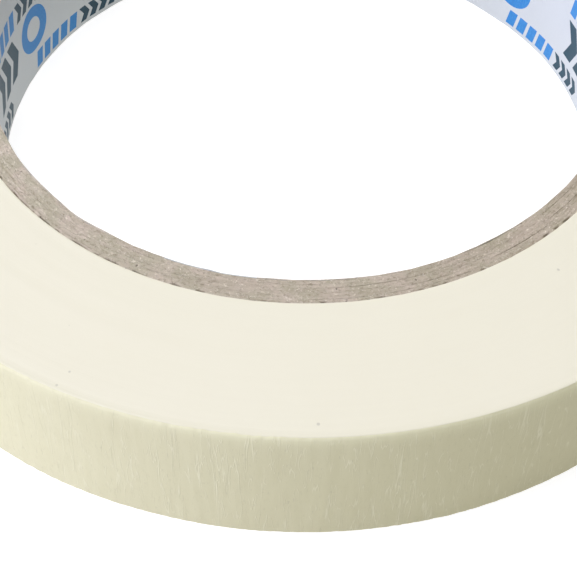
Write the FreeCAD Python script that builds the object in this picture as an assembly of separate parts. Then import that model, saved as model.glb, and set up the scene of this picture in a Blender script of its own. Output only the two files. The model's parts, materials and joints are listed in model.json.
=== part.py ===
import FreeCAD, Part
import math
import os

# Masking tape roll: crepe paper tape wound on a spirally wound paperboard core with a printed
# paper liner. Millimetres and degrees. The roll lies flat: +Z is the core's axis, and the
# origin is the centre of the core's bore at the lower end face.
# Directions round the axis are angles from +X towards +Y. Seen from +Z the tape winds
# outwards clockwise, so its free end points towards smaller angles.

# Driving dimensions
TAPE_WIDTH = 18.0
ROLL_RADIUS = 58.5
CORE_BORE_RADIUS = 38.2
CORE_WALL = 3.2
LINER_THICKNESS = 0.12
PLY_COUNT = 6
TAPE_THICKNESS = 0.135
PEEL_GAP = 0.03  # the adhesive line between the free end and the turn under it

# Butt seams: the plies are wound as spirals, and the liner is wrapped straight round them
PLY_SEAM_GAP = 0.2
PLY_SEAM_SLOPE = 26.0  # climb of a seam above the end face
FIRST_PLY_SEAM_ANGLE = 35.0
PLY_SEAM_STAGGER = 77.0  # from each ply's seam to the next one's
LINER_SEAM_GAP = 0.1
LINER_SEAM_ANGLE = 75.0
SEAM_CUT_LENGTH = 60.0
SEAM_CUT_MARGIN = 8.0  # the cut starts this far inside the core's bore

# Tape ends
START_EDGE_ANGLE = 20.0
START_EDGE_GAP = 0.4
TIP_ANGLE = 112.0
FREE_SEGMENTS = 12
FREE_SEGMENT_LENGTH = 4.0

# Derived sizes
CORE_RADIUS = CORE_BORE_RADIUS + CORE_WALL
BOARD_RADIUS = CORE_BORE_RADIUS + LINER_THICKNESS
PLY_THICKNESS = (CORE_RADIUS - BOARD_RADIUS) / PLY_COUNT
WINDINGS_RADIUS = CORE_RADIUS + TAPE_THICKNESS
HALF_TURN_GROWTH = TAPE_THICKNESS / 2  # a turn of tape lies one thickness further out
LATE_RADIUS = ROLL_RADIUS - TAPE_THICKNESS  # under the second half of the outer turn
EARLY_RADIUS = LATE_RADIUS - HALF_TURN_GROWTH  # under its first half
FREE_RADIUS = LATE_RADIUS + PEEL_GAP
SEGMENT_ANGLE = math.degrees(FREE_SEGMENT_LENGTH / (FREE_RADIUS + TAPE_THICKNESS))
PEEL_ANGLE = TIP_ANGLE + FREE_SEGMENTS * SEGMENT_ANGLE


def toward(angle):
    """Unit vector in the XY plane at this angle."""
    return FreeCAD.Vector(math.cos(math.radians(angle)), math.sin(math.radians(angle)), 0)


# The outer turn is a spiral of two half circles whose centres lie either side of the axis.
# They meet with a common tangent on the line through the tip of the tape.
EARLY_CENTRE = toward(TIP_ANGLE) * (-HALF_TURN_GROWTH / 2)
LATE_CENTRE = toward(TIP_ANGLE) * (HALF_TURN_GROWTH / 2)


def arc(centre, radius, start, end):
    """Arc edge about the centre, running from one angle to the other."""
    points = [centre + toward(angle) * radius for angle in (start, (start + end) / 2, end)]
    return Part.Arc(*points).toShape()


def extruded(edges):
    """Solid over the full tape width from one closed outline."""
    return Part.Face(Part.Wire(edges)).extrude(FreeCAD.Vector(0, 0, TAPE_WIDTH))


def ring(inner, outer):
    """Plain ring about the core's axis."""
    return Part.makeCylinder(outer, TAPE_WIDTH).cut(Part.makeCylinder(inner, TAPE_WIDTH))


def strip(centre, inner, outer, start, end):
    """Tape between two radii and two angles, with square ends."""
    return extruded([
        arc(centre, inner, start, end),
        Part.makeLine(centre + toward(end) * inner, centre + toward(end) * outer),
        arc(centre, outer, end, start),
        Part.makeLine(centre + toward(start) * outer, centre + toward(start) * inner),
    ])


def slit(angle, slope, gap):
    """Thin slab through the core wall at one angle, rising at the slope: a gap between edges."""
    depth = CORE_WALL + 2 * SEAM_CUT_MARGIN
    slab = Part.makeBox(depth, SEAM_CUT_LENGTH, gap)
    slab.translate(FreeCAD.Vector(
        CORE_BORE_RADIUS - SEAM_CUT_MARGIN, -SEAM_CUT_LENGTH / 2, TAPE_WIDTH / 2 - gap / 2))
    mid_height = FreeCAD.Vector(0, 0, TAPE_WIDTH / 2)
    slab.rotate(mid_height, FreeCAD.Vector(1, 0, 0), slope)
    slab.rotate(FreeCAD.Vector(0, 0, 0), FreeCAD.Vector(0, 0, 1), angle)
    return slab


def core_liner():
    """Printed paper that lines the bore, with its upright seam."""
    paper = ring(CORE_BORE_RADIUS, BOARD_RADIUS)
    return paper.cut(slit(LINER_SEAM_ANGLE, 90, LINER_SEAM_GAP))


def core_ply(index):
    """One layer of greyboard, counted from 0 at the liner, with its spiral seam."""
    inner = BOARD_RADIUS + index * PLY_THICKNESS
    board = ring(inner, inner + PLY_THICKNESS)
    seam_angle = FIRST_PLY_SEAM_ANGLE + index * PLY_SEAM_STAGGER
    return board.cut(slit(seam_angle, PLY_SEAM_SLOPE, PLY_SEAM_GAP))


def tape_start_turn():
    """First turn of tape, stuck to the core, with the cut edge where the tape starts."""
    return ring(CORE_RADIUS, WINDINGS_RADIUS).cut(slit(START_EDGE_ANGLE, 90, START_EDGE_GAP))


def tape_windings():
    """The pack of turns between the first and the outer one, with the step that the outer one
    continues from."""
    step_foot = EARLY_CENTRE + toward(TIP_ANGLE) * EARLY_RADIUS
    step_top = LATE_CENTRE + toward(TIP_ANGLE) * LATE_RADIUS
    pack = extruded([
        arc(EARLY_CENTRE, EARLY_RADIUS, TIP_ANGLE, TIP_ANGLE - 180),
        arc(LATE_CENTRE, LATE_RADIUS, TIP_ANGLE - 180, TIP_ANGLE - 360),
        Part.makeLine(step_top, step_foot),
    ])
    return pack.cut(Part.makeCylinder(WINDINGS_RADIUS, TAPE_WIDTH))


def tape_outer_turn():
    """Last turn of tape, from the step in the windings round to where the free end peels."""
    half_way = TIP_ANGLE - 180
    peel = PEEL_ANGLE - 360
    early_outer = EARLY_RADIUS + TAPE_THICKNESS
    late_outer = LATE_RADIUS + TAPE_THICKNESS
    return extruded([
        arc(EARLY_CENTRE, EARLY_RADIUS, TIP_ANGLE, half_way),
        arc(LATE_CENTRE, LATE_RADIUS, half_way, peel),
        Part.makeLine(
            LATE_CENTRE + toward(peel) * LATE_RADIUS, LATE_CENTRE + toward(peel) * late_outer),
        arc(LATE_CENTRE, late_outer, peel, half_way),
        arc(EARLY_CENTRE, early_outer, half_way, TIP_ANGLE),
        Part.makeLine(
            EARLY_CENTRE + toward(TIP_ANGLE) * early_outer,
            EARLY_CENTRE + toward(TIP_ANGLE) * EARLY_RADIUS),
    ])


def free_end(index):
    """One bending length of the free end, counted from 0 at the line where the tape peels."""
    start = PEEL_ANGLE - index * SEGMENT_ANGLE
    return strip(
        LATE_CENTRE, FREE_RADIUS, FREE_RADIUS + TAPE_THICKNESS, start, start - SEGMENT_ANGLE)


def hinge_points():
    """Where each length of the free end bends: on its outer face, at its end nearer the peel."""
    outer = FREE_RADIUS + TAPE_THICKNESS
    angles = [PEEL_ANGLE - index * SEGMENT_ANGLE for index in range(FREE_SEGMENTS)]
    return [LATE_CENTRE + toward(angle) * outer for angle in angles]


def all_parts():
    """Every node's name and solid."""
    parts = {
        "core_liner": core_liner(),
        "tape_start_turn": tape_start_turn(),
        "tape_windings": tape_windings(),
        "tape_outer_turn": tape_outer_turn(),
    }
    for index in range(PLY_COUNT):
        parts[f"core_ply_{index + 1}"] = core_ply(index)
    for index in range(FREE_SEGMENTS):
        parts[f"free_end_{index + 1}"] = free_end(index)
    return parts


os.makedirs("parts", exist_ok=True)
for name, shape in all_parts().items():
    shape.exportStep(os.path.join("parts", name + ".step"))
    print(f"{name}: {len(shape.Solids)} solid, {shape.Volume:.2f} mm3, valid {shape.isValid()}")
for index, point in enumerate(hinge_points()):
    print(f"hinge {index + 1}: x {point.x:.4f} y {point.y:.4f} mm")
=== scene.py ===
import json
import math

import bmesh
import bpy
import numpy as np
from mathutils import Matrix, Vector
from mathutils.geometry import delaunay_2d_cdt

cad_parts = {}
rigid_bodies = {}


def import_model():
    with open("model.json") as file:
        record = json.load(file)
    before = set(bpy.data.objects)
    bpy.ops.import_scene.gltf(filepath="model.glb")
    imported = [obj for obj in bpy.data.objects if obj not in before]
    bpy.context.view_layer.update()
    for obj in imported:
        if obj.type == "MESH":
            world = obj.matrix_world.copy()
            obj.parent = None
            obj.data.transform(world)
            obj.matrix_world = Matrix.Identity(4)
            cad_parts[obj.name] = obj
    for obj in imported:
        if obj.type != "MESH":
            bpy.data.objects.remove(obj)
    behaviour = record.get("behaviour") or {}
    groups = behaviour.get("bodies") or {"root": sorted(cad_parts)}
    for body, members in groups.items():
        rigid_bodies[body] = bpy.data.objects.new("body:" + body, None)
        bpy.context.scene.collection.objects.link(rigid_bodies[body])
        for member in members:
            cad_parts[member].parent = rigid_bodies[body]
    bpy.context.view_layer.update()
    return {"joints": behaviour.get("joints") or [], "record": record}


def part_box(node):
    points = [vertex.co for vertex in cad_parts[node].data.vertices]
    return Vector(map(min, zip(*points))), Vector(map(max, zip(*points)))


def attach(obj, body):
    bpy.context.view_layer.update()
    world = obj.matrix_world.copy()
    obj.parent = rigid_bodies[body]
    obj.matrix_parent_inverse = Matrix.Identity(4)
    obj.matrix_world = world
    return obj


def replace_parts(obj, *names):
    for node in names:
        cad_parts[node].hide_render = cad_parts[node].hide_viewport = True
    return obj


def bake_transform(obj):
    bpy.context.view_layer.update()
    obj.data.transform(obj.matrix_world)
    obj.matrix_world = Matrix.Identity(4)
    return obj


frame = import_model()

# A masking tape roll lying flat. Lengths are in metres, like the frame. The places stored on the
# meshes for the textures are in mm. Angles are radians from +X towards +Y.

MM = 0.001
TURN = 2 * math.pi


# ---------------------------------------------------------------- sizes read from the frame

def radius_of(node):
    """Outer radius of a round CAD node."""
    low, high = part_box(node)
    return (high.x - low.x) / 2


def mount(name):
    """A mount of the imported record."""
    return next(m for m in frame["record"]["mounts"] if m["name"] == name)


PLIES = 6
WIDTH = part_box("tape_windings")[1].z
BORE = mount("bore")["dims"]["r_mm"] * MM
LINER_OUTER = radius_of("core_liner")
CORE_OUTER = radius_of(f"core_ply_{PLIES}")
START_OUTER = radius_of("tape_start_turn")
TAPE = START_OUTER - CORE_OUTER

HINGES = [Vector(joint["pos_m"]) for joint in frame["joints"]]
HINGE_ANGLES = [math.atan2(h.y, h.x) for h in HINGES]
SEGMENT = HINGE_ANGLES[0] - HINGE_ANGLES[1]
PEEL = HINGE_ANGLES[0]
TIP = HINGE_ANGLES[-1] - SEGMENT
FREE_OUTER = HINGES[0].xy.length

# ---------------------------------------------------------------- sizes of the visible detail

RIM_ROUND = 0.45 * MM       # how far in from the rim the upper face starts to fall away
RIM_DROP = 0.18 * MM        # how much it has fallen at the rim
RIM_RISE = 0.10 * MM        # how far the lower face has risen at the rim
RIM_INSET = 0.08 * MM       # how far the wall leans in at its upper edge
RIM_LEAN = 0.45 * MM        # the height over which the wall leans in
RIM_SHADE_REACH = 0.30 * MM        # how far in from the rim the end faces' painted shade reaches
EDGE_GLOW_REACH = 0.75 * MM       # how far down from the upper edge the crepe's painted glow reaches
END_FACE_SWELL = 0.008 * MM     # unevenness of the wound end faces, broad
END_FACE_GRAIN = 0.004 * MM     # the same, fine

SWELL_HEIGHT = 0.010 * MM   # height of the crepe's soft swells
CREPE_CELL = 0.1 * MM       # cell of the crepe's height map along the tape, twice that across it
PRESS_LINE = 6.5 * MM       # height of a shallow line pressed along the tape
PRESS_LINE_WIDTH = 0.35 * MM

STRIP_STEP = 0.225 * MM     # spacing of the outer turn's columns
BEND_STEP = 0.2 * MM        # the same where the tape bends
TIP_STEP = 0.1 * MM         # the same at the torn end
STRIP_ROWS = 26             # rows of the strip's middle, with the last of EDGE_ROWS on each side
EDGE_ROWS = np.array([0.0, 0.08, 0.20, 0.42]) * MM      # distance of the rows nearest each edge
FOOT_ROUNDING = np.array([0.03, 0.01]) * MM             # how far they lie inside the outer face
HEAD_ROUNDING = np.array([0.015, 0.05, 0.11]) * MM
EDGE_WAVER = 0.035 * MM     # unevenness of the strip's edges
LIFT = 0.004 * MM           # the outer turn's clearance over the pack
LIP_HEIGHT = 0.05 * MM      # how far the outer turn's inner edge stands above its outer edge
TEAR_SIZE = 0.22 * MM       # how far the torn end is from straight
TEAR_REACH = 1.8 * MM       # how far back from it the tape is pulled out of line

PACK_FINE_STEP = 0.4 * MM   # spacing of the pack's columns under the free end
PACK_STEP = 0.68 * MM       # the same elsewhere
PACK_WALL_ROWS = 26
PACK_ROW_CROWDING = 1.6     # above 1, the wall's rows lie closer towards its upper edge
PACK_RINGS = 56             # rings of points on each end face
BRINK = 3                   # tape thicknesses from the rim to the outermost of those rings
STEP_SLOPE = 1e-5           # radians that keep the two sides of the pack's step apart
SWELL_SINK = 0.4            # share of the swells' height by which the pack's wall lies lower
START_COLUMNS = 720
START_SINK = 0.03 * MM      # the least that the start turn's edges lie under the pack's

BORE_WAVER = 0.05 * MM      # how far the core's inner face strays from round
# Each dent's place and width in degrees, and how far it goes outwards in mm
BORE_DENTS = ((-129, 4.0, 0.22), (-100, 3.0, 0.06), (-152, 3.0, -0.10))
PLY_COLUMNS = 900
PLY_SHARES = np.array([0, 0.12, 0.3, 0.5, 0.7, 0.88, 1])    # rows of a ply's end face, from inside
PLY_GAP = 0.003 * MM        # keeps a ply clear of the next
CUT_WAVER = 0.025 * MM      # broad unevenness of a ply's cut end
CUT_ROUGHNESS = 0.016 * MM  # fine unevenness of it
CUT_WEAR = 0.012 * MM       # how much more its two edges are worn
CUT_LEAST = 0.004 * MM      # the least that a cut end lies under the tape's edge
FRAY_DEPTH = 0.35 * MM      # how much lower the board is where it is frayed
FRAY_ANGLE = math.radians(-132)    # where the board is most frayed against the tape
FRAY_SPREAD = math.radians(25)

# Seeds of the random curves and fields. A curve that needs a second draw takes the next number.

SEED_SWELLS, SEED_BROAD_SWELLS = 13, 14
SEED_TEAR = 5
SEED_LOWER_EDGE, SEED_UPPER_EDGE = 21, 31
SEED_UPPER_FACE, SEED_LOWER_FACE = 41, 51
SEED_START_TURN = 61
SEED_LINER_EDGE, SEED_LINER_RIM = 71, 74
SEED_BORE = 81
SEED_PLIES, SEEDS_PER_PLY = 100, 10


# ---------------------------------------------------------------- numeric helpers

def smooth(values, low, high):
    """0 below low, 1 above high, with a smooth step between."""
    share = np.clip((np.asarray(values, float) - low) / (high - low), 0, 1)
    return share * share * (3 - 2 * share)


def wave(angles, seed, low, high, fall=0.7):
    """A random curve about 1 in size that closes after a turn, from low to high waves a turn."""
    random = np.random.default_rng(seed)
    total = np.zeros_like(np.asarray(angles, float))
    power = 0
    for count in range(low, high + 1):
        size = (low / count) ** fall
        total += size * np.cos(count * angles + random.uniform(0, TURN))
        power += size * size / 2
    return total / math.sqrt(power)


def blurred_noise(shape, blur, seed):
    """Random field with a spread of 1 that repeats, blurred by this many cells along each axis."""
    random = np.random.default_rng(seed)
    spectrum = np.fft.rfft2(random.standard_normal(shape))
    down = np.fft.fftfreq(shape[0])[:, None]
    along = np.fft.rfftfreq(shape[1])[None, :]
    spectrum *= np.exp(-2 * math.pi ** 2 * ((down * blur[0]) ** 2 + (along * blur[1]) ** 2))
    field = np.fft.irfft2(spectrum, shape)
    return field / field.std()


def sample(field, row, column):
    """Value of a field between its cells. Both directions repeat."""
    r0, c0 = np.floor(row).astype(int), np.floor(column).astype(int)
    fr, fc = row - r0, column - c0
    rows, columns = field.shape
    r0, c0 = r0 % rows, c0 % columns
    r1, c1 = (r0 + 1) % rows, (c0 + 1) % columns
    upper = field[r0, c0] * (1 - fc) + field[r0, c1] * fc
    lower = field[r1, c0] * (1 - fc) + field[r1, c1] * fc
    return upper * (1 - fr) + lower * fr


def spread(start, stop, step):
    """Evenly spaced values from start to stop, about a step apart."""
    return np.linspace(start, stop, max(2, round(abs(stop - start) / step) + 1))


# ---------------------------------------------------------------- mesh helpers

CREASE = math.radians(50)


def shade_smooth(mesh):
    """Smooth shading, with creases kept sharp."""
    mesh.polygons.foreach_set("use_smooth", [True] * len(mesh.polygons))
    mesh.set_sharp_from_angle(angle=CREASE)


def add_piece(name, mesh, materials):
    """An object of this mesh in the scene, with its material slots."""
    for material in materials:
        mesh.materials.append(material)
    piece = bpy.data.objects.new(name, mesh)
    bpy.context.scene.collection.objects.link(piece)
    return piece


def ring_piece(name, turn, radius, height, depth, materials, closed=True, slots=None):
    """A piece swept round the axis. The angles, radius, height and depth are arrays of columns
    by profile points. The profile is a closed loop that goes up the outer side first. depth is
    the distance in mm along the surface, for the textures. slots gives each profile step's
    material slot. A piece that isn't a closed ring has as many profile points inside as outside."""
    columns, points = radius.shape
    at = np.arange(columns * points).reshape(columns, points)
    here = at if closed else at[:-1]
    there = np.roll(at, -1, axis=0)[:len(here)]
    quads = [np.stack([
        here, there, np.roll(there, -1, axis=1), np.roll(here, -1, axis=1)], axis=-1)]
    if not closed:
        outside = np.arange(points // 2 - 1)
        inside = points - 1 - outside
        for column, order in ((at[0], 1), (at[-1], -1)):
            cap = np.stack([
                column[outside], column[outside + 1], column[inside - 1], column[inside]], axis=-1)
            quads.append(cap[:, ::order])
    quads = np.concatenate([part.reshape(-1, 4) for part in quads])
    if turn[-1, 0] < turn[0, 0]:
        quads = quads[:, ::-1]
    place = np.stack([radius * np.cos(turn), radius * np.sin(turn), height], axis=-1)
    mesh = bpy.data.meshes.new(name)
    mesh.from_pydata(place.reshape(-1, 3).tolist(), [], quads.tolist())
    shade_smooth(mesh)
    if slots is not None:
        indices = np.zeros(len(quads), int)
        indices[:here.size] = np.tile(slots, len(here))
        mesh.polygons.foreach_set("material_index", indices)
    store_around(mesh, turn + 0 * radius, depth)
    return add_piece(name, mesh, materials)


def store_around(mesh, angles, depth):
    """Keeps where each point lies on the unbent tape, in mm, for the textures."""
    rim = FREE_OUTER / MM
    place = np.stack([rim * np.cos(angles), rim * np.sin(angles), depth], axis=-1)
    store(mesh, "around", place.reshape(-1, 3))


def store(mesh, name, values):
    """Keeps one number or one vector for each point of a mesh, for its material."""
    flat = np.asarray(values, np.float32)
    if flat.ndim == 1:
        layer = mesh.attributes.new(name, "FLOAT", "POINT")
        layer.data.foreach_set("value", flat)
    else:
        layer = mesh.attributes.new(name, "FLOAT_VECTOR", "POINT")
        layer.data.foreach_set("vector", flat.ravel())


# ---------------------------------------------------------------- material helpers

class Paint:
    """A node material, with short calls for the textures that the materials below share."""

    def __init__(self, name, roughness=0.7, specular=0.3):
        self.material = bpy.data.materials.new(name)
        self.material.use_nodes = True
        self.tree = self.material.node_tree
        self.shader = self.tree.nodes["Principled BSDF"]
        self.shader.inputs["Roughness"].default_value = roughness
        self.shader.inputs["Specular IOR Level"].default_value = specular

    def node(self, kind, **settings):
        made = self.tree.nodes.new(kind)
        for key, value in settings.items():
            setattr(made, key, value)
        return made

    def put(self, socket, value):
        """Links a socket or sets a plain value."""
        if isinstance(value, bpy.types.NodeSocket):
            self.tree.links.new(value, socket)
        elif isinstance(value, tuple) and len(value) == 3 and socket.type == "RGBA":
            socket.default_value = (*value, 1)
        else:
            socket.default_value = value

    def stored(self, name, scale=None):
        """A value stored on the mesh, with its axes scaled if it is a place."""
        source = self.node("ShaderNodeAttribute", attribute_name=name)
        if scale is None:
            return source.outputs["Fac"]
        mapping = self.node("ShaderNodeMapping")
        self.put(mapping.inputs["Vector"], source.outputs["Vector"])
        self.put(mapping.inputs["Scale"], Vector(scale))
        return mapping.outputs["Vector"]

    def along_x(self, place):
        """The X part of a place."""
        made = self.node("ShaderNodeSeparateXYZ")
        self.put(made.inputs["Vector"], place)
        return made.outputs["X"]

    def noise(self, place, scale, detail=2.0, roughness=0.5, distortion=0.0):
        made = self.node("ShaderNodeTexNoise")
        self.put(made.inputs["Vector"], place)
        self.put(made.inputs["Scale"], scale)
        self.put(made.inputs["Detail"], detail)
        self.put(made.inputs["Roughness"], roughness)
        self.put(made.inputs["Distortion"], distortion)
        return made.outputs["Fac"]

    def ranged(self, value, low, high, to_low=0.0, to_high=1.0):
        """value from low to high becomes to_low to to_high, with both ends clamped."""
        made = self.node("ShaderNodeMapRange")
        self.put(made.inputs["Value"], value)
        self.put(made.inputs["From Min"], low)
        self.put(made.inputs["From Max"], high)
        self.put(made.inputs["To Min"], to_low)
        self.put(made.inputs["To Max"], to_high)
        return made.outputs["Result"]

    def maths(self, operation, a, b=0.0):
        made = self.node("ShaderNodeMath", operation=operation)
        self.put(made.inputs[0], a)
        self.put(made.inputs[1], b)
        return made.outputs["Value"]

    def mix(self, share, a, b):
        made = self.node("ShaderNodeMix", data_type="RGBA")
        self.put(made.inputs["Factor"], share)
        self.put(made.inputs[6], a)
        self.put(made.inputs[7], b)
        return made.outputs[2]

    def specks(self, place, scale, size, rarity):
        """1 in small round grains, one in a few cells, and 0 elsewhere."""
        cells = self.node("ShaderNodeTexVoronoi")
        self.put(cells.inputs["Vector"], place)
        self.put(cells.inputs["Scale"], scale)
        near = self.ranged(cells.outputs["Distance"], size * 0.6, size, 1.0, 0.0)
        split = self.node("ShaderNodeSeparateColor")
        self.put(split.inputs["Color"], cells.outputs["Color"])
        chosen = self.maths("GREATER_THAN", split.outputs["Red"], rarity)
        return self.maths("MULTIPLY", near, chosen)

    def creases(self, place, width):
        """Thin wandering lines, 1 along their middle and 0 away from them."""
        value = self.noise(place, 1.0, 1.5, 0.4)
        away = self.maths("ABSOLUTE", self.maths("SUBTRACT", value, 0.5))
        return self.ranged(away, 0, width, 1.0, 0.0)

    def bump(self, height, distance, strength=1.0, under=None):
        """height times distance, in metres, as a bump."""
        made = self.node("ShaderNodeBump")
        self.put(made.inputs["Height"], height)
        self.put(made.inputs["Distance"], distance)
        self.put(made.inputs["Strength"], strength)
        if under is not None:
            self.put(made.inputs["Normal"], under)
        return made.outputs["Normal"]

    def finish(self, colour, roughness=None, normal=None):
        """Joins the worked-out sockets to the shader and gives the material."""
        self.put(self.shader.inputs["Base Color"], colour)
        if roughness is not None:
            self.put(self.shader.inputs["Roughness"], roughness)
        if normal is not None:
            self.put(self.shader.inputs["Normal"], normal)
        return self.material


# ---------------------------------------------------------------- materials

# Colours are linear red, green and blue. The scales of a stored place are cycles per mm: around
# the roll in the first two, and across the tape in the third.

EVEN = (1, 1, 1)


def crepe_paper():
    """The tape's outer face: cream crepe paper with thin wrinkles whose ridges carry painted
    highlights, and painted light along its upper edge for light shining through the paper there.
    Both painted lights are stronger towards +X."""
    paint = Paint("crepe_paper", specular=0.25)
    place = paint.stored("around", EVEN)
    side = paint.along_x(place)
    patches = paint.noise(place, 0.12, 3.0, 0.6)
    base = paint.mix(patches, (0.684, 0.647, 0.421), (0.640, 0.600, 0.381))
    grain = paint.noise(paint.stored("around", (4, 4, 1.0)), 1.0, 3.0, 0.6)
    base = paint.mix(paint.ranged(grain, 0.56, 0.74, 0, 0.14), base, (0.440, 0.405, 0.250))
    some = paint.noise(paint.stored("around", (0.9, 0.9, 0.22)), 1.0, 2.0)
    few = paint.noise(paint.stored("around", (0.5, 0.5, 0.10)), 1.0, 2.0)
    fine = paint.creases(paint.stored("around", (1.9, 1.9, 0.17)), 0.024)
    long = paint.creases(paint.stored("around", (1.1, 1.1, 0.075)), 0.015)
    thin = paint.maths("MULTIPLY", fine, paint.ranged(some, 0.46, 0.58))
    thick = paint.maths("MULTIPLY", long, paint.ranged(few, 0.44, 0.56))
    wrinkle = paint.maths("MAXIMUM", thin, thick)
    # Painted highlights: the wrinkles' ridges are painted paler, more so towards +X.
    painted_highlight_share = paint.ranged(side, -40, 30, 0.12, 0.72)
    base = paint.mix(paint.maths("MULTIPLY", wrinkle, painted_highlight_share), base, (0.820, 0.785, 0.575))
    flecks = paint.noise(paint.stored("around", (3.0, 3.0, 0.8)), 1.0, 2.0, 0.6)
    base = paint.mix(paint.ranged(flecks, 0.64, 0.76, 0, 0.24), base, (0.400, 0.370, 0.240))
    # Painted light: a pale band along the upper edge for light shining through the paper, stronger
    # towards +X.
    painted_edge_glow = paint.maths("MULTIPLY", paint.stored("edge"), paint.ranged(side, -50, 22, 0.08, 0.95))
    base = paint.mix(painted_edge_glow, base, (0.960, 0.930, 0.640))
    rough = paint.ranged(grain, 0.2, 0.8, 0.55, 0.75)
    normal = paint.bump(wrinkle, 0.022 * MM, 0.9)
    normal = paint.bump(grain, 0.004 * MM, 0.8, normal)
    return paint.finish(base, rough, normal)


def wound_edges():
    """The end faces of the pack: cut paper edges, with faint lines that follow the turns, and
    painted shade at the rim that darkens them towards the tape's own colour."""
    paint = Paint("wound_edges", specular=0.2)
    place = paint.stored("around", EVEN)
    broad = paint.noise(place, 0.05, 2.0)
    base = paint.mix(broad, (0.886, 0.845, 0.676), (0.866, 0.825, 0.651))
    turns = paint.noise(paint.stored("around", (0.05, 0.05, 5)), 1.0, 3.0, 0.7)
    base = paint.mix(paint.ranged(turns, 0.45, 0.75, 0, 0.06), base, (0.760, 0.715, 0.590))
    dust = paint.specks(place, 0.3, 0.07, 0.72)
    base = paint.mix(paint.maths("MULTIPLY", dust, 0.30), base, (0.25, 0.24, 0.20))
    # Painted shade: the end faces darken near the rim, where the rounding would otherwise catch the
    # light.
    rim = paint.stored("edge")
    base = paint.mix(paint.ranged(rim, 0, 1, 0, 0.9), base, (0.760, 0.725, 0.530))
    fibres = paint.noise(place, 3.0, 4.0, 0.7)
    rough = paint.ranged(fibres, 0.3, 0.7, 0.6, 0.8)
    normal = paint.bump(turns, 0.008 * MM, 0.7)
    normal = paint.bump(fibres, 0.010 * MM, 0.6, normal)
    return paint.finish(base, rough, normal)


def adhesive():
    """The tape's inner face: a thin, slightly glossy coat of rubber adhesive."""
    paint = Paint("adhesive", specular=0.5)
    place = paint.stored("around", EVEN)
    streaks = paint.noise(paint.stored("around", (0.4, 0.4, 3)), 1.0, 3.0)
    base = paint.mix(streaks, (0.800, 0.735, 0.500), (0.740, 0.665, 0.420))
    rough = paint.ranged(paint.noise(place, 1.2, 3.0), 0.3, 0.7, 0.28, 0.45)
    normal = paint.bump(paint.noise(place, 2.5, 2.0), 0.015 * MM, 0.8)
    return paint.finish(base, rough, normal)


def greyboard():
    """Recycled paperboard: grey-brown, with streaks along the plies, pale flakes and dark pits,
    painted shade that darkens it towards +X, and painted shade in the frayed groove against the
    tape."""
    paint = Paint("greyboard", specular=0.15)
    place = paint.stored("around", EVEN)
    cloud = paint.noise(paint.stored("around", (0.22, 0.22, 0.35)), 1.0, 3.0, 0.6)
    base = paint.mix(paint.ranged(cloud, 0.40, 0.60), (0.655, 0.560, 0.460), (0.540, 0.488, 0.368))
    # Painted shade: the board darkens towards +X, away from the key light.
    painted_shade_towards_x = paint.ranged(paint.along_x(place), -42, 55, 0, 0.40)
    base = paint.mix(painted_shade_towards_x, base, (0.400, 0.330, 0.225))
    bands = paint.noise(paint.stored("around", (0.05, 0.05, 1.5)), 1.0, 3.0, 0.6)
    base = paint.mix(paint.ranged(bands, 0.45, 0.65, 0, 0.35), base, (0.400, 0.335, 0.250))
    streaks = paint.noise(paint.stored("around", (1.3, 1.3, 3.2)), 1.0, 4.0, 0.8, 0.6)
    base = paint.mix(paint.ranged(streaks, 0.50, 0.68, 0, 0.85), base, (0.290, 0.240, 0.170))
    flakes = paint.noise(paint.stored("around", (1.5, 1.5, 3.0)), 1.0, 4.0, 0.8, 0.8)
    base = paint.mix(paint.ranged(flakes, 0.56, 0.68, 0, 0.95), base, (0.850, 0.780, 0.650))
    pits = paint.specks(place, 0.9, 0.18, 0.82)
    base = paint.mix(paint.maths("MULTIPLY", pits, 0.7), base, (0.10, 0.08, 0.06))
    # Painted shade in the frayed groove between the board and the tape.
    base = paint.mix(paint.ranged(paint.stored("edge"), 0, 1, 0, 0.85), base, (0.15, 0.12, 0.09))
    normal = paint.bump(streaks, 0.10 * MM, 0.9)
    normal = paint.bump(flakes, 0.07 * MM, 0.8, normal)
    return paint.finish(base, 0.9, normal)


def liner_paper():
    """White coated paper that lines the bore, slightly blue."""
    paint = Paint("liner_paper", specular=0.35)
    place = paint.stored("around", EVEN)
    broad = paint.noise(place, 0.15, 3.0)
    base = paint.mix(broad, (0.595, 0.615, 0.600), (0.570, 0.590, 0.577))
    fibres = paint.noise(place, 3.5, 4.0, 0.7)
    base = paint.mix(paint.ranged(fibres, 0.5, 0.8, 0, 0.3), base, (0.500, 0.525, 0.540))
    rough = paint.ranged(fibres, 0.3, 0.7, 0.45, 0.6)
    return paint.finish(base, rough, paint.bump(fibres, 0.012 * MM, 0.8))


def ink(name, full, thin):
    """Printing ink on the liner, slightly uneven."""
    paint = Paint(name, specular=0.25)
    place = paint.stored("around", EVEN)
    cover = paint.noise(place, 2.2, 5.0, 0.75)
    base = paint.mix(paint.ranged(cover, 0.45, 0.72, 0, 0.8), full, thin)
    rough = paint.ranged(cover, 0.3, 0.7, 0.4, 0.55)
    return paint.finish(base, rough, paint.bump(cover, 0.008 * MM, 0.8))


# ---------------------------------------------------------------- the tape

ADHESIVE_SLOT = 1       # of a strip's materials
PACK_CREPE_SLOT = 1     # of the pack's materials


def under_tape(angles):
    """Radius of the surface that the last turn lies on, at an angle travelled from the step: the
    turn starts one thickness lower than it ends."""
    share = (TIP - angles) / TURN
    return FREE_OUTER - TAPE * (2 - share)


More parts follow.
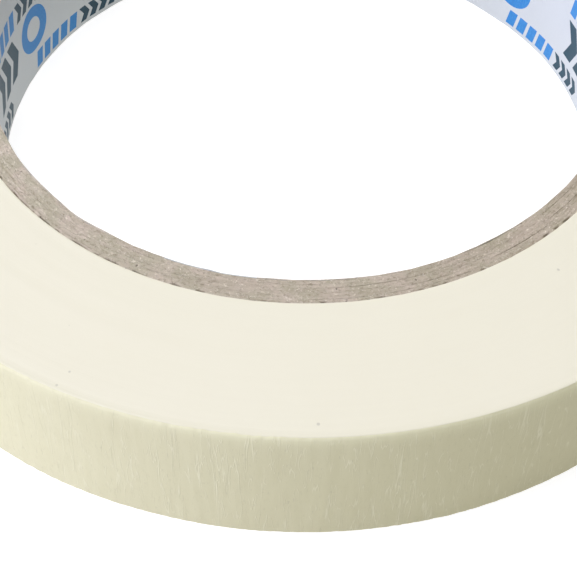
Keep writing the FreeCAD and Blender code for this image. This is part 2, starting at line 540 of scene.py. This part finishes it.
def crepe_map():
    """Height map of the crepe's soft swells over one full turn."""
    shape = (round(WIDTH / CREPE_CELL / 2), round(TURN * FREE_OUTER / CREPE_CELL))
    swells = blurred_noise(shape, (7, 2.6), SEED_SWELLS)
    broad = blurred_noise(shape, (30, 60), SEED_BROAD_SWELLS)
    above_line = np.arange(shape[0])[:, None] * CREPE_CELL * 2 - PRESS_LINE
    line = np.exp(-(above_line / PRESS_LINE_WIDTH) ** 2)
    return 0.8 * swells + 0.6 * broad - 1.3 * line


CREPE_MAP = crepe_map()


def crepe(angles, heights):
    """Height of the crepe at these angles and heights."""
    column = np.asarray(angles) * FREE_OUTER / CREPE_CELL
    row = np.asarray(heights) / CREPE_CELL / 2
    return SWELL_HEIGHT * sample(CREPE_MAP, row, column)


def rim_lean(height):
    """How far the wall lies inside its full radius, near its upper edge."""
    return RIM_INSET * np.exp((height - WIDTH + RIM_DROP) / RIM_LEAN)


def rim_fall(inset):
    """How far the upper face lies below the tape's full width, this far inside the rim."""
    share = np.clip(1 - inset / RIM_ROUND, 0, 1)
    return RIM_DROP * (1 - np.sqrt(1 - share ** 2))


def edge_glow_share(height):
    """Share of the crepe's painted glow at this height, for light shining through the paper near
    its upper edge: 1 at the very edge.
    """
    return np.exp((height - WIDTH) / EDGE_GLOW_REACH)


def edge_waver(angles, seed):
    """Small unevenness of the outer turn's edge."""
    return EDGE_WAVER * (wave(angles, seed, 5, 40) + 0.6 * wave(angles, seed + 1, 60, 400, 0.2))


def strip_rows(turn):
    """Heights of the strip's rows at these angles, from its lower to its upper edge."""
    low = edge_waver(turn, SEED_LOWER_EDGE) + RIM_RISE
    high = WIDTH - edge_waver(turn, SEED_UPPER_EDGE) - rim_fall(TAPE * 0.3)
    between = np.linspace(0, 1, STRIP_ROWS)[None, 1:-1]
    return np.concatenate([
        low + EDGE_ROWS, low + EDGE_ROWS[-1] + (high - low - 2 * EDGE_ROWS[-1]) * between,
        high - EDGE_ROWS[::-1]], axis=1)


def strip_piece(name, start, stop, step, torn=0.0):
    """Tape on the last turn between two angles travelled, with crepe outside and adhesive
    inside. torn is how far its far end is from straight."""
    travelled = spread(start, stop, step / FREE_OUTER)[:, None]
    turn = TIP - travelled
    face = strip_rows(turn)
    rows = face.shape[1]
    lip = face.copy()
    lip[:, -1] += LIP_HEIGHT
    inner = under_tape(turn) + LIFT + crepe(turn, lip) - rim_lean(lip)
    outer = under_tape(turn) + LIFT + crepe(turn, face) - rim_lean(face) + TAPE
    rounding = np.zeros(rows)
    rounding[:len(FOOT_ROUNDING)] = FOOT_ROUNDING
    rounding[-len(HEAD_ROUNDING):] = HEAD_ROUNDING
    radius = np.concatenate([outer - rounding, inner[:, ::-1]], axis=1)
    height = np.concatenate([face, lip[:, ::-1]], axis=1)
    tear = torn * (1 + wave(height / WIDTH * TURN, SEED_TEAR, 2, 30, 0.5))
    pull = smooth(travelled, stop - TEAR_REACH / FREE_OUTER, stop)
    slots = np.zeros(2 * rows, int)
    slots[rows:-1] = ADHESIVE_SLOT
    piece = ring_piece(
        name, turn + tear * pull / FREE_OUTER, radius, height, height / MM, [CREPE, ADHESIVE],
        closed=False, slots=slots)
    # The stored edge value is the share of the painted glow along the upper edge.
    store(piece.data, "edge", edge_glow_share(height).ravel())
    return piece


def outer_turn():
    """The last turn, up to the line where the free end peels."""
    piece = strip_piece("outer_turn", 0.0, TURN - (PEEL - TIP), STRIP_STEP)
    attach(piece, "roll")
    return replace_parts(piece, "tape_outer_turn")


def free_end():
    """The free end: one piece across each hinge, attached to no body, and the torn tip past the
    last, which goes with the last body.
    """
    bodies = [joint["parent"] for joint in frame["joints"]] + [frame["joints"][-1]["child"]]
    for index in range(len(HINGES)):
        hinge = TURN - (HINGE_ANGLES[index] - TIP)
        start = hinge if index == 0 else hinge - SEGMENT / 2
        stop = hinge + SEGMENT / 2
        piece = strip_piece(f"free_end_bend_{index + 1}", start, stop, BEND_STEP)
        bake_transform(piece)
        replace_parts(piece, f"free_end_{index + 1}")
    tip = strip_piece("free_end_tip", TURN - SEGMENT / 2, TURN, TIP_STEP, torn=TEAR_SIZE)
    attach(tip, bodies[-1])


def winding_relief(radius, angles, seed):
    """Unevenness of a wound end face: narrow bands of turns stand a little high or low."""
    rings, sectors = 1024, 64
    fine = blurred_noise((rings, sectors), (2.2, 4), seed)
    broad = blurred_noise((rings, sectors), (12, 3), seed + 1)
    row, column = radius / (0.05 * MM), angles / TURN * sectors
    return END_FACE_GRAIN * sample(fine, row, column) + END_FACE_SWELL * sample(broad, row, column)


def pack():
    """The wound pack, with the step that the outer turn continues from."""
    fine = spread(TIP, PEEL + SEGMENT, PACK_FINE_STEP / FREE_OUTER)
    coarse = spread(PEEL + SEGMENT, TIP + TURN, PACK_STEP / FREE_OUTER)[1:]
    turn = np.concatenate([fine, coarse])[:, None]
    turn[0] += STEP_SLOPE
    turn[-1] -= STEP_SLOPE
    outer = FREE_OUTER - TAPE * (2 - ((TIP - turn) % TURN) / TURN)
    low, high = RIM_RISE, WIDTH - rim_fall(TAPE)
    rise = 1 - np.linspace(1, 0, PACK_WALL_ROWS)[None, :] ** PACK_ROW_CROWDING
    face = low + (high - low) * rise + 0 * turn
    wall = outer + crepe(turn, face) - SWELL_SINK * SWELL_HEIGHT - rim_lean(face)
    brink = FREE_OUTER - RIM_INSET - BRINK * TAPE
    inward = np.cos(np.linspace(0, TURN / 4, PACK_RINGS))
    inland = START_OUTER + (brink - START_OUTER) * inward + 0 * turn
    outward = np.array([1, 2])[None, :] / 3
    above = np.concatenate([wall[:, -1:] + (brink - wall[:, -1:]) * outward, inland], axis=1)
    below = np.concatenate([wall[:, :1] + (brink - wall[:, :1]) * outward, inland], axis=1)[:, ::-1]
    upper = WIDTH - rim_fall(FREE_OUTER - RIM_INSET - above)
    upper = upper + winding_relief(above, turn, SEED_UPPER_FACE)
    lower = RIM_RISE * smooth(below, FREE_OUTER - RIM_ROUND, FREE_OUTER)
    lower = np.maximum(lower - winding_relief(below, turn, SEED_LOWER_FACE), 0)
    radius = np.concatenate([wall, above, below], axis=1)
    height = np.concatenate([face, upper, lower], axis=1)
    depth = np.concatenate([face, WIDTH + FREE_OUTER - above, below - FREE_OUTER], axis=1) / MM
    slots = np.zeros(radius.shape[1], int)
    slots[:PACK_WALL_ROWS - 1] = PACK_CREPE_SLOT
    piece = ring_piece("tape_pack", turn, radius, height, depth, [EDGES, CREPE], slots=slots)
    # The stored edge value: painted shade on the end faces near the rim, and the painted glow along
    # the wall's upper edge.
    painted_glow_and_shade = np.exp((radius - FREE_OUTER + RIM_INSET) / RIM_SHADE_REACH)
    painted_glow_and_shade[:, :PACK_WALL_ROWS] = edge_glow_share(face)
    store(piece.data, "edge", painted_glow_and_shade.ravel())
    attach(piece, "roll")
    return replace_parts(piece, "tape_windings")


def start_turn():
    """The first turn, a thin ring between the board and the pack."""
    turn = np.linspace(0, TURN, START_COLUMNS, endpoint=False)[:, None]
    ragged = smooth(wave(turn, SEED_START_TURN, 8, 120, 0.3), -0.5, 1.5)
    sunk = START_SINK * (1 + ragged)
    one = np.ones_like(turn)
    radius = np.concatenate([
        START_OUTER * one, START_OUTER * one, CORE_OUTER * one, CORE_OUTER * one], axis=1)
    height = np.concatenate([sunk, WIDTH - sunk, WIDTH - sunk, sunk], axis=1)
    piece = ring_piece("start_turn", turn, radius, height, radius / MM, [EDGES])
    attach(piece, "roll")
    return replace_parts(piece, "tape_start_turn")


# ---------------------------------------------------------------- the core

def settled(radius, turn):
    """Where a radius of the core really lies: the bore is a little out of round, and the tape
    holds the outside round."""
    stray = BORE_WAVER * wave(turn, SEED_BORE, 3, 14)
    for degrees, width, depth in BORE_DENTS:
        away = (turn - math.radians(degrees) + math.pi) % TURN - math.pi
        stray = stray + depth * MM * np.exp(-(away / math.radians(width)) ** 2)
    return radius + stray * (CORE_OUTER - radius) / (CORE_OUTER - BORE)


def board_ply(index):
    """One ply of greyboard with rough cut ends. The last ply is frayed where the tape starts, and
    its frayed groove gets painted shade.
    """
    node = f"core_ply_{index + 1}"
    outer = radius_of(node) - PLY_GAP
    inner = (LINER_OUTER if index == 0 else radius_of(f"core_ply_{index}")) + PLY_GAP
    turn = np.linspace(0, TURN, PLY_COLUMNS, endpoint=False)[:, None]
    radii = settled(inner + (outer - inner) * PLY_SHARES[None, ::-1], turn)
    seed = SEED_PLIES + index * SEEDS_PER_PLY
    rows = range(len(PLY_SHARES))
    rough = np.concatenate([wave(turn, seed + 1 + row, 30, 300, 0.25) for row in rows], axis=1)
    sunk = CUT_WAVER * (1.4 + wave(turn, seed, 4, 30)) + CUT_ROUGHNESS * (1.5 + rough)
    sunk[:, [0, -1]] += CUT_WEAR
    fray = np.zeros_like(sunk)
    if index == PLIES - 1:
        away = (turn - FRAY_ANGLE + math.pi) % TURN - math.pi
        uneven = wave(turn, seed + 9, 30, 220, 0.1) + np.exp(-(away / FRAY_SPREAD) ** 2)
        fray[:, :3] = smooth(uneven, 0.4, 1.7) * np.array([0.5, 1, 0.8])
    sunk = np.clip(sunk + FRAY_DEPTH * fray, CUT_LEAST, None)
    radius = np.concatenate([radii, radii[:, ::-1]], axis=1)
    height = np.concatenate([WIDTH - sunk, sunk[:, ::-1]], axis=1)
    depth = np.concatenate([WIDTH - radii, radii[:, ::-1]], axis=1) / MM
    piece = ring_piece(f"board_ply_{index + 1}", turn, radius, height, depth, [BOARD])
    # The stored edge value is the fray, which the board darkens with painted shade.
    store(piece.data, "edge", np.concatenate([fray, fray[:, ::-1]], axis=1).ravel())
    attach(piece, "roll")
    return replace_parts(piece, node)


# ---------------------------------------------------------------- the printed liner

PRINT_REPEATS = 9
LINER_SEAM = math.radians(75)
LINER_SEAM_GAP = 0.1 * MM
LINER_LENGTH = TURN * BORE - LINER_SEAM_GAP
PRINT_PITCH = TURN * BORE / PRINT_REPEATS
PRINT_SHIFT = math.radians(13) * BORE      # from the seam to the first whole repeat
PRINT_CELL, PRINT_CELL_UP = 1.3 * MM, 1.5 * MM     # spacing of the liner's own points
LINER_FACE_GAP, LINER_BACK_GAP = 0.01 * MM, 0.005 * MM     # its clearance in its CAD node
LINER_RAGGED = 0.045 * MM    # unevenness of its edges
RIM_BARE = -1.1              # above this, a rim's random curve leaves it bare of white paper
SPOT_CORNERS = 36
SAME_POINT = 1e-7            # points of the print closer than this are one
BLUE_SLOT, DARK_SLOT, BOARD_SLOT = 1, 2, 3


def slanted(x, z, width, height, lean):
    """A leaning bar with its lower left corner at x, z."""
    return [(x, z), (x + width, z), (x + width + lean, z + height), (x + lean, z + height)]


def chevron(x, z, width, height, thickness):
    """A bent stroke that points along the row."""
    half = height / 2
    return [
        (x, z), (x + thickness, z), (x + thickness + width, z + half),
        (x + thickness, z + height), (x, z + height), (x + width, z + half)]


def disc(x, z, radius):
    """A round spot about x, z."""
    corners = [TURN * k / SPOT_CORNERS for k in range(SPOT_CORNERS)]
    return [(x + radius * math.cos(a), z + radius * math.sin(a)) for a in corners]


def motif():
    """One repeat of the print: (outline, slot) pairs in metres from the repeat's start. A later
    outline covers an earlier one, and slot 0 is bare paper. The shapes are laid out in mm."""
    shapes = []
    for start, foot, height in ((0.0, 11.2, 2.9), (14.3, 0.6, 2.5)):
        for k in range(5):
            bar = slanted(start + 2.05 * k, foot, 1.5, height, 0.55)
            shapes.append((bar, BLUE_SLOT))
        for k in range(4):
            point = chevron(start + 10.7 + 1.75 * k, foot, 0.75, height, 1.15)
            shapes.append((point, DARK_SLOT))
    for k in range(3):
        shapes.append((chevron(0.2 + 3.1 * k, 4.4, 1.5, 5.9, 2.1), DARK_SLOT))
    for radius, slot in ((3.45, BLUE_SLOT), (1.75, 0)):
        shapes.append((disc(14.7, 7.3, radius), slot))
    return [([(x * MM, z * MM) for x, z in outline], slot) for outline, slot in shapes]


def clipped(outline, low, high):
    """The part of an outline between two upright lines."""
    for limit, side in ((low, 1), (high, -1)):
        kept = []
        for (ax, az), (bx, bz) in zip(outline, outline[1:] + outline[:1]):
            a_in, b_in = side * (ax - limit) >= 0, side * (bx - limit) >= 0
            if a_in:
                kept.append((ax, az))
            if a_in != b_in:
                share = (limit - ax) / (bx - ax)
                kept.append((limit, az + share * (bz - az)))
        outline = kept
    return outline


def liner_sheet():
    """The liner's inner face, unrolled: points, triangles and each triangle's slot."""
    points, outlines, slots = [], [], []
    for repeat in range(-1, PRINT_REPEATS + 1):
        shift = PRINT_SHIFT + repeat * PRINT_PITCH
        for outline, slot in motif():
            moved = clipped([(x + shift, z) for x, z in outline], 0, LINER_LENGTH)
            if len(moved) > 2:
                outlines.append(list(range(len(points), len(points) + len(moved))))
                points += moved
                slots.append(slot)
    across = spread(0, LINER_LENGTH, PRINT_CELL)
    up = spread(0, WIDTH, PRINT_CELL_UP)
    points += [(x, z) for x in across for z in up]
    made = delaunay_2d_cdt([Vector(p) for p in points], [], outlines, 0, SAME_POINT)
    vertices, faces, belongs = made[0], made[2], made[5]
    face_slots = [slots[max(inside)] if inside else 0 for inside in belongs]
    return np.array([tuple(v) for v in vertices]), faces, face_slots


def liner():
    """The printed liner: a thin closed shell whose inner face carries the print."""
    flat, faces, face_slots = liner_sheet()
    count = len(flat)
    turn = LINER_SEAM - flat[:, 0] / BORE
    ragged = wave(turn, SEED_LINER_EDGE, 4, 24) + 0.8 * wave(turn, SEED_LINER_EDGE + 1, 30, 90, 0.4)
    frayed = LINER_RAGGED * np.abs(ragged)
    height = flat[:, 1] + frayed * (1 - 2 * flat[:, 1] / WIDTH)
    bm = bmesh.new()
    shells = []
    for radius in (BORE + LINER_FACE_GAP, LINER_OUTER - LINER_BACK_GAP):
        real = settled(radius, turn)
        places = np.stack([real * np.cos(turn), real * np.sin(turn), height], axis=-1)
        shells.append([bm.verts.new(place) for place in places])
    inside, outside = shells
    for face, slot in zip(faces, face_slots):
        bm.faces.new([inside[k] for k in face]).material_index = slot
        bm.faces.new([outside[k] for k in reversed(face)])
    bm.verts.index_update()
    for edge in [e for e in bm.edges if e.is_boundary and e.verts[0].index < count]:
        loop = edge.link_loops[0]
        first, second = loop.vert, loop.link_loop_next.vert
        rim = bm.faces.new([second, first, outside[first.index], outside[second.index]])
        rim.smooth = False
        at = turn[first.index]
        if abs(first.co.z - second.co.z) < MM and wave(at, SEED_LINER_RIM, 2, 9) > RIM_BARE:
            rim.material_index = BOARD_SLOT
    bmesh.ops.recalc_face_normals(bm, faces=bm.faces)
    mesh = bpy.data.meshes.new("printed_liner")
    bm.to_mesh(mesh)
    bm.free()
    shade_smooth(mesh)
    both = np.concatenate([turn, turn])
    store_around(mesh, both, np.concatenate([height, height]) / MM)
    piece = add_piece("printed_liner", mesh, [PAPER, BLUE_INK, DARK_INK, BOARD])
    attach(piece, "roll")
    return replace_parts(piece, "core_liner")


# ---------------------------------------------------------------- surroundings

FLOOR_HALF = 3.0
FLOOR_SHADE = 0.40
FLOOR_GLOW = 0.80


def floor():
    """A wide pale floor that also gives off light of its own, so that hardly a shadow shows."""
    corners = [(x * FLOOR_HALF, y * FLOOR_HALF, 0) for x, y in ((-1, -1), (1, -1), (1, 1), (-1, 1))]
    mesh = bpy.data.meshes.new("floor")
    mesh.from_pydata(corners, [], [(0, 1, 2, 3)])
    paint = Paint("floor_white", roughness=0.9, specular=0.1)
    paint.shader.inputs["Base Color"].default_value = (FLOOR_SHADE, FLOOR_SHADE, FLOOR_SHADE, 1)
    paint.shader.inputs["Emission Color"].default_value = (1, 1, 1, 1)
    paint.shader.inputs["Emission Strength"].default_value = FLOOR_GLOW
    add_piece("floor", mesh, [paint.material])


def area_light(name, place, size, power, colour=(1, 1, 1)):
    """A soft square light that faces the roll. power is in watts."""
    light = bpy.data.lights.new(name, "AREA")
    light.size = size
    light.energy = power
    light.color = colour
    lamp = bpy.data.objects.new(name, light)
    bpy.context.scene.collection.objects.link(lamp)
    lamp.location = place
    lamp.rotation_euler = (-Vector(place)).to_track_quat("-Z", "Y").to_euler()


def lights():
    """Soft studio light, mostly from above and the left."""
    area_light("key_left", (-1.0, -0.30, 0.32), 0.7, 10.6, (0.97, 1.0, 1.36))
    area_light("top", (-0.17, 0.08, 1.2), 1.0, 13.1)
    world = bpy.data.worlds.new("studio")
    world.use_nodes = True
    background = world.node_tree.nodes["Background"]
    background.inputs["Color"].default_value = (1, 1, 1, 1)
    background.inputs["Strength"].default_value = 0.05
    bpy.context.scene.world = world


CAMERA_DISTANCE, CAMERA_HEIGHT = 0.13902, 0.13971
CAMERA_PITCH, CAMERA_YAW, CAMERA_ROLL = 50.711, -0.405, 1.098     # degrees
CAMERA_LENS, CAMERA_SENSOR = 92.705, 36     # mm


def camera():
    """The camera looks down at the near side of the roll from close by."""
    pitch, yaw, roll = (math.radians(a) for a in (CAMERA_PITCH, CAMERA_YAW, CAMERA_ROLL))
    forward = Vector((
        math.sin(yaw) * math.cos(pitch), math.cos(yaw) * math.cos(pitch), -math.sin(pitch)))
    level = Vector((math.cos(yaw), -math.sin(yaw), 0))
    up = level.cross(forward)
    right = math.cos(roll) * level + math.sin(roll) * up
    over = math.cos(roll) * up - math.sin(roll) * level
    lens = bpy.data.cameras.new("camera")
    lens.sensor_width = CAMERA_SENSOR
    lens.lens = CAMERA_LENS
    lens.clip_start = 0.005
    view = bpy.data.objects.new("camera", lens)
    bpy.context.scene.collection.objects.link(view)
    rotation = Matrix((right, over, -forward)).transposed()
    place = Matrix.Translation((0, -CAMERA_DISTANCE, CAMERA_HEIGHT))
    view.matrix_world = place @ rotation.to_4x4()
    bpy.context.scene.camera = view


CREPE = crepe_paper()
ADHESIVE = adhesive()
EDGES = wound_edges()
BOARD = greyboard()
PAPER = liner_paper()
BLUE_INK = ink("ink_blue", (0.020, 0.205, 0.520), (0.060, 0.295, 0.580))
DARK_INK = ink("ink_dark", (0.007, 0.045, 0.070), (0.018, 0.080, 0.115))

camera()
floor()
lights()
bpy.context.scene.view_settings.view_transform = "Standard"

pack()
start_turn()
outer_turn()
free_end()
for ply in range(PLIES):
    board_ply(ply)
liner()
